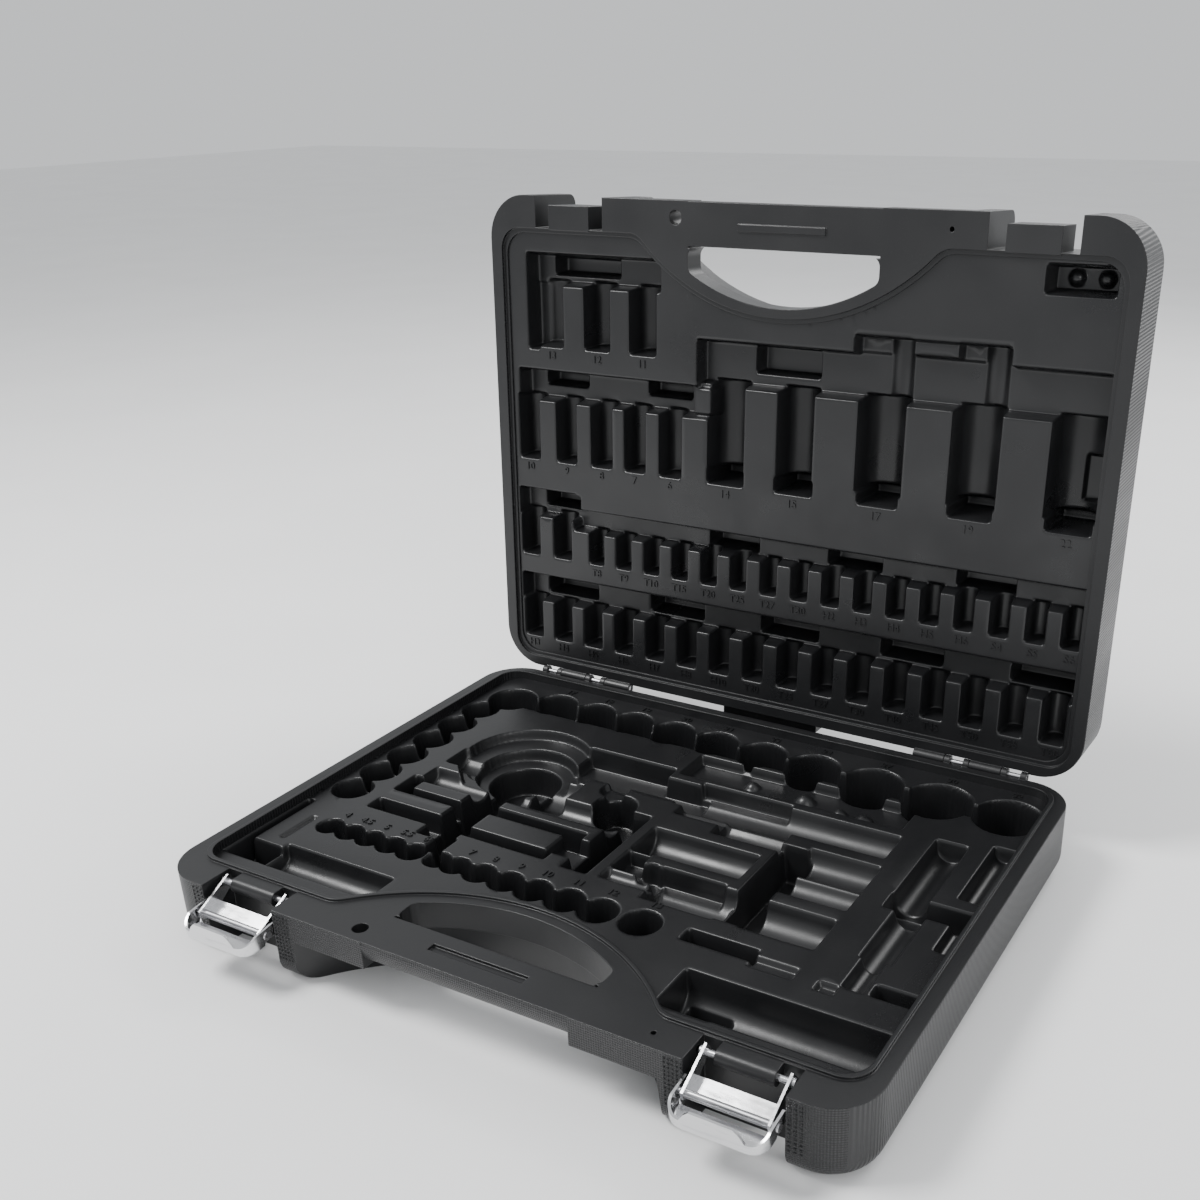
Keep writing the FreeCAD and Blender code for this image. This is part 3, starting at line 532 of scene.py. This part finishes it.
def soft_grid(node, half, deck):
    """A CAD tray's top as a height grid with rounded rims and leaning walls."""
    fine = TRAY_STEP / 2
    low, high = own_box(node, half)
    margin = 1.5 * MM
    block = 2 ** TRAY_LEVELS * TRAY_STEP
    width = math.ceil((high.x - low.x + 2 * margin) / block) * block
    depth = math.ceil((high.y - low.y + 2 * margin) / block) * block
    x0 = (low.x + high.x - width) / 2
    y0 = (low.y + high.y - depth) / 2
    xs = x0 + np.arange(int(round(width / fine)) + 1) * fine
    ys = y0 + np.arange(int(round(depth / fine)) + 1) * fine
    grid = heights(node, half, xs, ys)
    tuck = 1.1 * MM
    kept = rolled(np.isfinite(grid).astype(float), tuck, fine, 0) > 0.5
    grid = np.where(np.isfinite(grid), grid, -deck)
    grid = drafted(grid, WALL_SLOPE, fine, int(WALL_REACH / fine))
    grid = softened(grid, RIM_ROUND, fine)
    grid = blurred(grid, 2)
    skip = int(round(TRAY_STEP / fine))
    return grid[::skip, ::skip], kept[::skip, ::skip], xs[::skip], ys[::skip], low.z


def own_box(node, half):
    """A CAD node's box in its half's own frame."""
    spots = [half.out_of_row @ v.co for v in NODES[node].data.vertices]
    low = Vector([min(p[i] for p in spots) for i in range(3)])
    high = Vector([max(p[i] for p in spots) for i in range(3)])
    return low, high


def make_tray(node, half, deck):
    """Stands for a CAD tray: the same pockets with the soft edges of a blow moulding."""
    mesh, normals = tray_mesh(f"{node}_skin", *soft_grid(node, half, deck))
    mesh = placed(mesh, half)
    piece = new_piece(f"{node}_skin", mesh, half.body, TRAY_PLASTIC)
    turned = [tuple(half.into_row.to_3x3() @ Vector(n)) for n in normals.tolist()]
    turned += [(0, 0, 0)] * (len(mesh.vertices) - len(turned))
    mesh.normals_split_custom_set_from_vertices(turned)
    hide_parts(node)


# ---------------------------------------------------------------- size numerals

def plain_mesh(item):
    """The evaluated object as a mesh of its own; the object is then removed."""
    bpy.context.scene.collection.objects.link(item)
    graph = bpy.context.evaluated_depsgraph_get()
    graph.update()
    mesh = bpy.data.meshes.new_from_object(item.evaluated_get(graph), depsgraph=graph)
    bpy.data.objects.remove(item)
    return mesh


def joined(name, meshes):
    """One mesh made of several."""
    points, faces, start = [], [], 0
    for mesh in meshes:
        points += [v.co[:] for v in mesh.vertices]
        faces += [[start + i for i in p.vertices] for p in mesh.polygons]
        start = len(points)
    whole = bpy.data.meshes.new(name)
    whole.from_pydata(points, [], faces)
    return whole


NUMERAL_HEIGHT = 4.8 * MM
NUMERAL_RISE = 0.3 * MM
FONT_OVER_FIGURE = 1.35


def numeral(text, half, x, s, z):
    """A raised number on a deck, its foot towards the hinge on the lid and the handle on the base."""
    curve = bpy.data.curves.new("numeral", "FONT")
    curve.body = text
    curve.size = NUMERAL_HEIGHT * FONT_OVER_FIGURE
    curve.extrude = 0.35 * MM
    curve.resolution_u = 3
    curve.align_x = curve.align_y = "CENTER"
    mesh = plain_mesh(bpy.data.objects.new("numeral", curve))
    mesh.transform(Matrix.Translation((x * MM, half.y(s * MM), z)))
    return mesh


def make_numerals(name, half, deck, rows):
    """All of a half's socket sizes: each row is texts, places across and distances."""
    made = []
    for texts, places, distances in rows:
        for text, x, s in zip(texts.split(), places, distances):
            made.append(numeral(text, half, x, s, NUMERAL_RISE - deck))
    mesh = placed(joined(name, made), half)
    new_piece(name, mesh, half.body, TRAY_PLASTIC)


def steps(first, pitch, count):
    """Evenly spaced places."""
    return [first + pitch * i for i in range(count)]


# Each row: its texts, their places across in mm, and their distances s in mm.
BASE_NUMERALS = [
    ("17 18 19 20 21 22 24 27 30 32", (-133, -104, -76, -46, -16, 16, 50, 88, 128, 166), [281] * 10),
    ("10 11 12 13 14 15", [-186.5] * 6, steps(105.5, 23.4, 6)),
    ("4 4.5 5 5.5 6", (-151, -137, -123, -109, -96), [92] * 5),
    ("7 8 9 10 11 12 13", (-66, -51, -35, -19, 0, 20, 45), [92.5, 93, 93.5, 94, 94.5, 95, 95.5]),
]
LID_NUMERALS = [
    ("H3 H4 H5 H6 H7 H8 H10 T20 T25 T27 T30 T40 T45 T50 T55 T60",
     steps(-175.5, 23.4, 16), [280.5] * 16),
    ("T8 T9 T10 T15 T20 T25 T27 T30 H2 H3 H4 H5 H6 S4 S5 S6", steps(-125, 20.35, 16), [225] * 16),
    ("10 9 8 7 6", (-174, -146, -120, -96, -71), [161.5] * 5),
    ("14 15 17 19 22", (-33, 11, 63, 117, 171), [162] * 5),
    ("13 12 11", (-155, -122, -90), [91.5] * 3),
]


# ---------------------------------------------------------------- studded grip pads

STUD_PITCH = 2.0 * MM
STUD_SIZES = {"Foot": 0.8 * MM, "Tip": 0.25 * MM, "Rise": 0.5 * MM}
STUD_EDGE = 13 * MM
STUD_TOP_GAP = 3 * MM
STUD_BANDS = ((-169, -163.5), (-114, -106), (106, 114), (163.5, 169))


def stud_tree():
    """Geometry Nodes: a field of square studs turned on their corners."""
    tree = bpy.data.node_groups.new("stud_field", "GeometryNodeTree")
    places = {}
    tree.interface.new_socket("Geometry", in_out="OUTPUT", socket_type="NodeSocketGeometry")
    for title, kind in (("Width", "NodeSocketFloat"), ("Height", "NodeSocketFloat"),
                        ("Columns", "NodeSocketInt"), ("Rows", "NodeSocketInt"),
                        ("Foot", "NodeSocketFloat"), ("Tip", "NodeSocketFloat"),
                        ("Rise", "NodeSocketFloat"), ("Finish", "NodeSocketMaterial")):
        places[title] = tree.interface.new_socket(title, in_out="INPUT", socket_type=kind).identifier
    nodes, link = tree.nodes, tree.links.new
    entry, leave = nodes.new("NodeGroupInput"), nodes.new("NodeGroupOutput")
    grid, points = nodes.new("GeometryNodeMeshGrid"), nodes.new("GeometryNodeInstanceOnPoints")
    cone, solid = nodes.new("GeometryNodeMeshCone"), nodes.new("GeometryNodeRealizeInstances")
    paint = nodes.new("GeometryNodeSetMaterial")
    link(entry.outputs["Width"], grid.inputs["Size X"])
    link(entry.outputs["Height"], grid.inputs["Size Y"])
    link(entry.outputs["Columns"], grid.inputs["Vertices X"])
    link(entry.outputs["Rows"], grid.inputs["Vertices Y"])
    cone.inputs["Vertices"].default_value = 4
    link(entry.outputs["Foot"], cone.inputs["Radius Bottom"])
    link(entry.outputs["Tip"], cone.inputs["Radius Top"])
    link(entry.outputs["Rise"], cone.inputs["Depth"])
    link(grid.outputs["Mesh"], points.inputs["Points"])
    link(cone.outputs["Mesh"], points.inputs["Instance"])
    link(points.outputs["Instances"], solid.inputs["Geometry"])
    link(solid.outputs["Geometry"], paint.inputs["Geometry"])
    link(entry.outputs["Finish"], paint.inputs["Material"])
    link(paint.outputs["Geometry"], leave.inputs["Geometry"])
    return tree, places


def stud_patch(tree, places, width, height, material):
    """A flat patch of studs about the origin, standing up along Z."""
    item = bpy.data.objects.new("studs", bpy.data.meshes.new("studs"))
    modifier = item.modifiers.new("studs", "NODES")
    modifier.node_group = tree
    values = {"Width": width, "Height": height, "Columns": int(width / STUD_PITCH) + 1,
              "Rows": int(height / STUD_PITCH) + 1, "Finish": material, **STUD_SIZES}
    for title, value in values.items():
        modifier[places[title]] = value
    return plain_mesh(item)


def make_studs():
    """Studded pads on the base's handle wall, one each side of each latch."""
    tree, places = stud_tree()
    low, high = STUD_EDGE, HINGE.z - STUD_TOP_GAP
    made = []
    for x0, x1 in STUD_BANDS:
        mesh = stud_patch(tree, places, (x1 - x0) * MM, high - low, SHELL_PLASTIC["base"])
        place = Matrix.Translation(((x0 + x1) / 2 * MM, BASE_LOW.y, (low + high) / 2))
        mesh.transform(place @ Matrix.Rotation(math.pi / 2, 4, "X"))
        made.append(mesh)
    new_piece("handle_wall_studs", joined("handle_wall_studs", made), "base",
              SHELL_PLASTIC["base"])


# ---------------------------------------------------------------- pressed latch levers

SHEET = 1.2 * MM
CORNER_FALL = 3.4 * MM
LIP_BLEND = 4 * MM
FLOOR_FROM = 2.2 * MM
LEVER_LEAN = math.radians(7)
SHARP_EDGE = math.radians(40)


def lever_path(half_wide, back, reach, corner):
    """Half of the pan's plan outline: places along one side and round the corner."""
    spots = [(half_wide, back - (back + reach - corner) * i / 16) for i in range(17)]
    for i in range(1, 9):
        turn = math.pi / 2 * i / 8
        spots.append((half_wide - corner * (1 - math.cos(turn)),
                      corner - reach - corner * math.sin(turn)))
    inner = half_wide - corner
    return spots + [(inner * (1 - i / 6), -reach) for i in range(1, 6)]


def rim_height(x, y, rise, lip, reach, narrow):
    """How high the pan's wall stands: low at the back, cut away at the corners, high at the lip."""
    if y > -reach + 0.3 * MM:
        fall = max(0.0, min(1.0, (-y - reach * 0.45) / (reach * 0.5)))
        return rise - fall * CORNER_FALL
    part = max(0.0, min(1.0, (narrow + LIP_BLEND - abs(x)) / LIP_BLEND))
    return rise - CORNER_FALL + part * (lip - rise + CORNER_FALL)


def inward_at(path, i):
    """Unit direction from the outline's point i to the inside of the pan."""
    before, after = path[max(i - 1, 0)], path[min(i + 1, len(path) - 1)]
    along = Vector((after[0] - before[0], after[1] - before[1])).normalized()
    inward = Vector((along.y, -along.x))
    x, y = path[i]
    return -inward if inward.dot(Vector((-x, -y - 2 * MM))) < 0 else inward


def wall_section(has_floor, drop, top):
    """The wall's section as (distance inwards, height): outside from foot to rim, then back inside."""
    bend, low = (3 * MM, -drop) if has_floor else (0.4 * MM, -drop + 3.5 * MM)
    sides = []
    for inset, radius in ((0.0, bend), (SHEET, max(bend - SHEET, 0.15 * MM))):
        level = low + (SHEET if inset and has_floor else 0.0)
        turns = [math.pi / 2 * k / 4 for k in range(5)]
        side = [(inset + radius * (1 - math.sin(a)), level + radius * (1 - math.cos(a))) for a in turns]
        sides.append(side + [(inset, top)])
    return sides[0] + sides[1][::-1]


def pan_faces(count, size, floor_start):
    """Faces between the wall's sections, over its ends, and across the floor from side to side."""
    faces = []
    for i in range(count - 1):
        for k in range(size - 1):
            a, b = i * size + k, (i + 1) * size + k
            faces.append([a, a + 1, b + 1, b])
        if not (floor_start <= i and i + 1 < count - floor_start):
            faces.append([i * size + size - 1, i * size, (i + 1) * size, (i + 1) * size + size - 1])
    faces.append(list(range(size)))
    faces.append([(count - 1) * size + k for k in reversed(range(size))])
    for i in range(floor_start, count // 2):
        j = count - 1 - i
        for k, flip in ((0, False), (size - 1, True)):
            a, b, c, d = i * size + k, (i + 1) * size + k, (j - 1) * size + k, j * size + k
            face = [a, b, c, d] if b != c else [a, b, d]
            faces.append(face[::-1] if flip else face)
    i, j = floor_start, count - 1 - floor_start
    faces.append([i * size, j * size, j * size + size - 1, i * size + size - 1])
    return faces


def pan_mesh(name):
    """The lever in its own frame: pin along X through the origin, arm along -Y."""
    half_wide, back, reach, corner = 23 * MM, 5.5 * MM, 14.5 * MM, 8 * MM
    drop, rise, lip, narrow = 6 * MM, 4.2 * MM, 7 * MM, 11 * MM
    side = lever_path(half_wide, back, reach, corner)
    path = side + [(0.0, -reach)] + [(-x, y) for x, y in reversed(side)]
    count = len(path)
    floor_start = next(i for i, (x, y) in enumerate(path) if y < -FLOOR_FROM)
    points = []
    for i, (x, y) in enumerate(path):
        inward = inward_at(path, i)
        has_floor = floor_start <= i < count - floor_start
        section = wall_section(has_floor, drop, rim_height(x, y, rise, lip, reach, narrow))
        points += [(x + inward.x * away, y + inward.y * away, z) for away, z in section]
    mesh = bpy.data.meshes.new(name)
    mesh.from_pydata(points, [], pan_faces(count, len(points) // count, floor_start))
    return outward(mesh)


def outward(mesh):
    """Points every face of a closed mesh outwards."""
    work = bmesh.new()
    work.from_mesh(mesh)
    bmesh.ops.remove_doubles(work, verts=work.verts, dist=1e-7)
    bmesh.ops.recalc_face_normals(work, faces=work.faces)
    work.to_mesh(mesh)
    work.free()
    return mesh


def make_lever(side):
    """Stands for a CAD lever: the same pan with its corners drawn round."""
    node = f"latch_lever_{side}"
    mesh = pan_mesh(f"{node}_pan")
    joint = JOINTS[f"lever_{side}_hinge"]
    mesh.transform(Matrix.Translation(joint["pos_m"]) @ Matrix.Rotation(LEVER_LEAN, 4, "X"))
    mesh.polygons.foreach_set("use_smooth", [True] * len(mesh.polygons))
    mesh.set_sharp_from_angle(angle=SHARP_EDGE)
    piece = new_piece(f"{node}_pan", mesh, f"lever_{side}", PLATE)
    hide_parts(node)


def finish_cad_nodes():
    """Gives every CAD node that still shows its own material."""
    prints = {"label_film": printed_label("label_print"), "badge_line": white_print("white_print")}
    for node, cad in NODES.items():
        if node.startswith(("latch_link", "latch_lever")):
            material = PLATE
        elif "pin" in node or "rivet" in node:
            material = WIRE
        else:
            material = prints.get(node) or SHELL_PLASTIC[node.split("_")[0]]
        cad.data.materials.clear()
        cad.data.materials.append(material)


# ---------------------------------------------------------------- room, light and camera

FLOOR_REACH = 6.0
SKY = (0.96, 0.98, 1.0, 1)
SKY_STRENGTH = 0.8
# Each light: its place, what it points at, its width and height, and its power in watts.
LIGHTS = {
    "key": ((-0.9, -0.5, 1.5), (0, 0, 0.1), (0.6, 0.6), 34),
    "fill": ((1.3, -0.9, 0.9), (0, 0, 0.1), (0.9, 0.9), 8),
    "back": ((0.4, 1.3, 1.2), (0, 0.1, 0.2), (1.4, 0.8), 18),
}


def area_light(name, place, target, size, power):
    """A soft rectangular studio light."""
    lamp = bpy.data.lights.new(name, "AREA")
    lamp.shape = "RECTANGLE"
    lamp.size, lamp.size_y = size
    lamp.energy = power
    item = bpy.data.objects.new(name, lamp)
    item.location = place
    item.rotation_euler = (Vector(target) - Vector(place)).to_track_quat("-Z", "Y").to_euler()
    bpy.context.scene.collection.objects.link(item)


def make_room():
    """A pale floor, a pale sky and three soft lights."""
    mesh = bpy.data.meshes.new("floor")
    corners = [(-1, -1), (1, -1), (1, 1), (-1, 1)]
    mesh.from_pydata([(x * FLOOR_REACH, y * FLOOR_REACH, 0) for x, y in corners], [], [(0, 1, 2, 3)])
    floor = bpy.data.objects.new("floor", mesh)
    mesh.materials.append(pale_floor("floor_paint"))
    bpy.context.scene.collection.objects.link(floor)
    world = bpy.data.worlds.new("studio")
    world.use_nodes = True
    background = world.node_tree.nodes["Background"]
    background.inputs["Color"].default_value = SKY
    background.inputs["Strength"].default_value = SKY_STRENGTH
    bpy.context.scene.world = world
    for name, settings in LIGHTS.items():
        area_light(name, *settings)


def make_camera():
    """Looks down at the open case from the front right."""
    azimuth, elevation, roll = (math.radians(a) for a in (29.41, 25.73, -0.86))
    distance, focal = 0.839, 40.52
    aim = Vector((-0.0285, 0.1407, HINGE.z))
    level = math.cos(elevation)
    back = Vector((math.sin(azimuth) * level, -math.cos(azimuth) * level, math.sin(elevation)))
    right = Vector((math.cos(azimuth), math.sin(azimuth), 0))
    up = back.cross(right)
    across = right * math.cos(roll) + up * math.sin(roll)
    above = up * math.cos(roll) - right * math.sin(roll)
    lens = bpy.data.cameras.new("camera")
    lens.lens = focal
    lens.sensor_width = 36
    lens.shift_x, lens.shift_y = -0.0978, 0.0963
    lens.clip_start = 0.01
    camera = bpy.data.objects.new("camera", lens)
    turn = Matrix((across, above, back)).transposed().to_4x4()
    camera.matrix_world = Matrix.Translation(aim + back * distance) @ turn
    bpy.context.scene.collection.objects.link(camera)
    bpy.context.scene.camera = camera


make_tray("base_tray", BASE, BASE_DECK)
make_tray("lid_tray", LID, LID_DECK)
make_numerals("base_numerals", BASE, BASE_DECK, BASE_NUMERALS)
make_numerals("lid_numerals", LID, LID_DECK, LID_NUMERALS)
make_studs()
for side in ("left", "right"):
    make_lever(side)
finish_cad_nodes()
make_room()
make_camera()
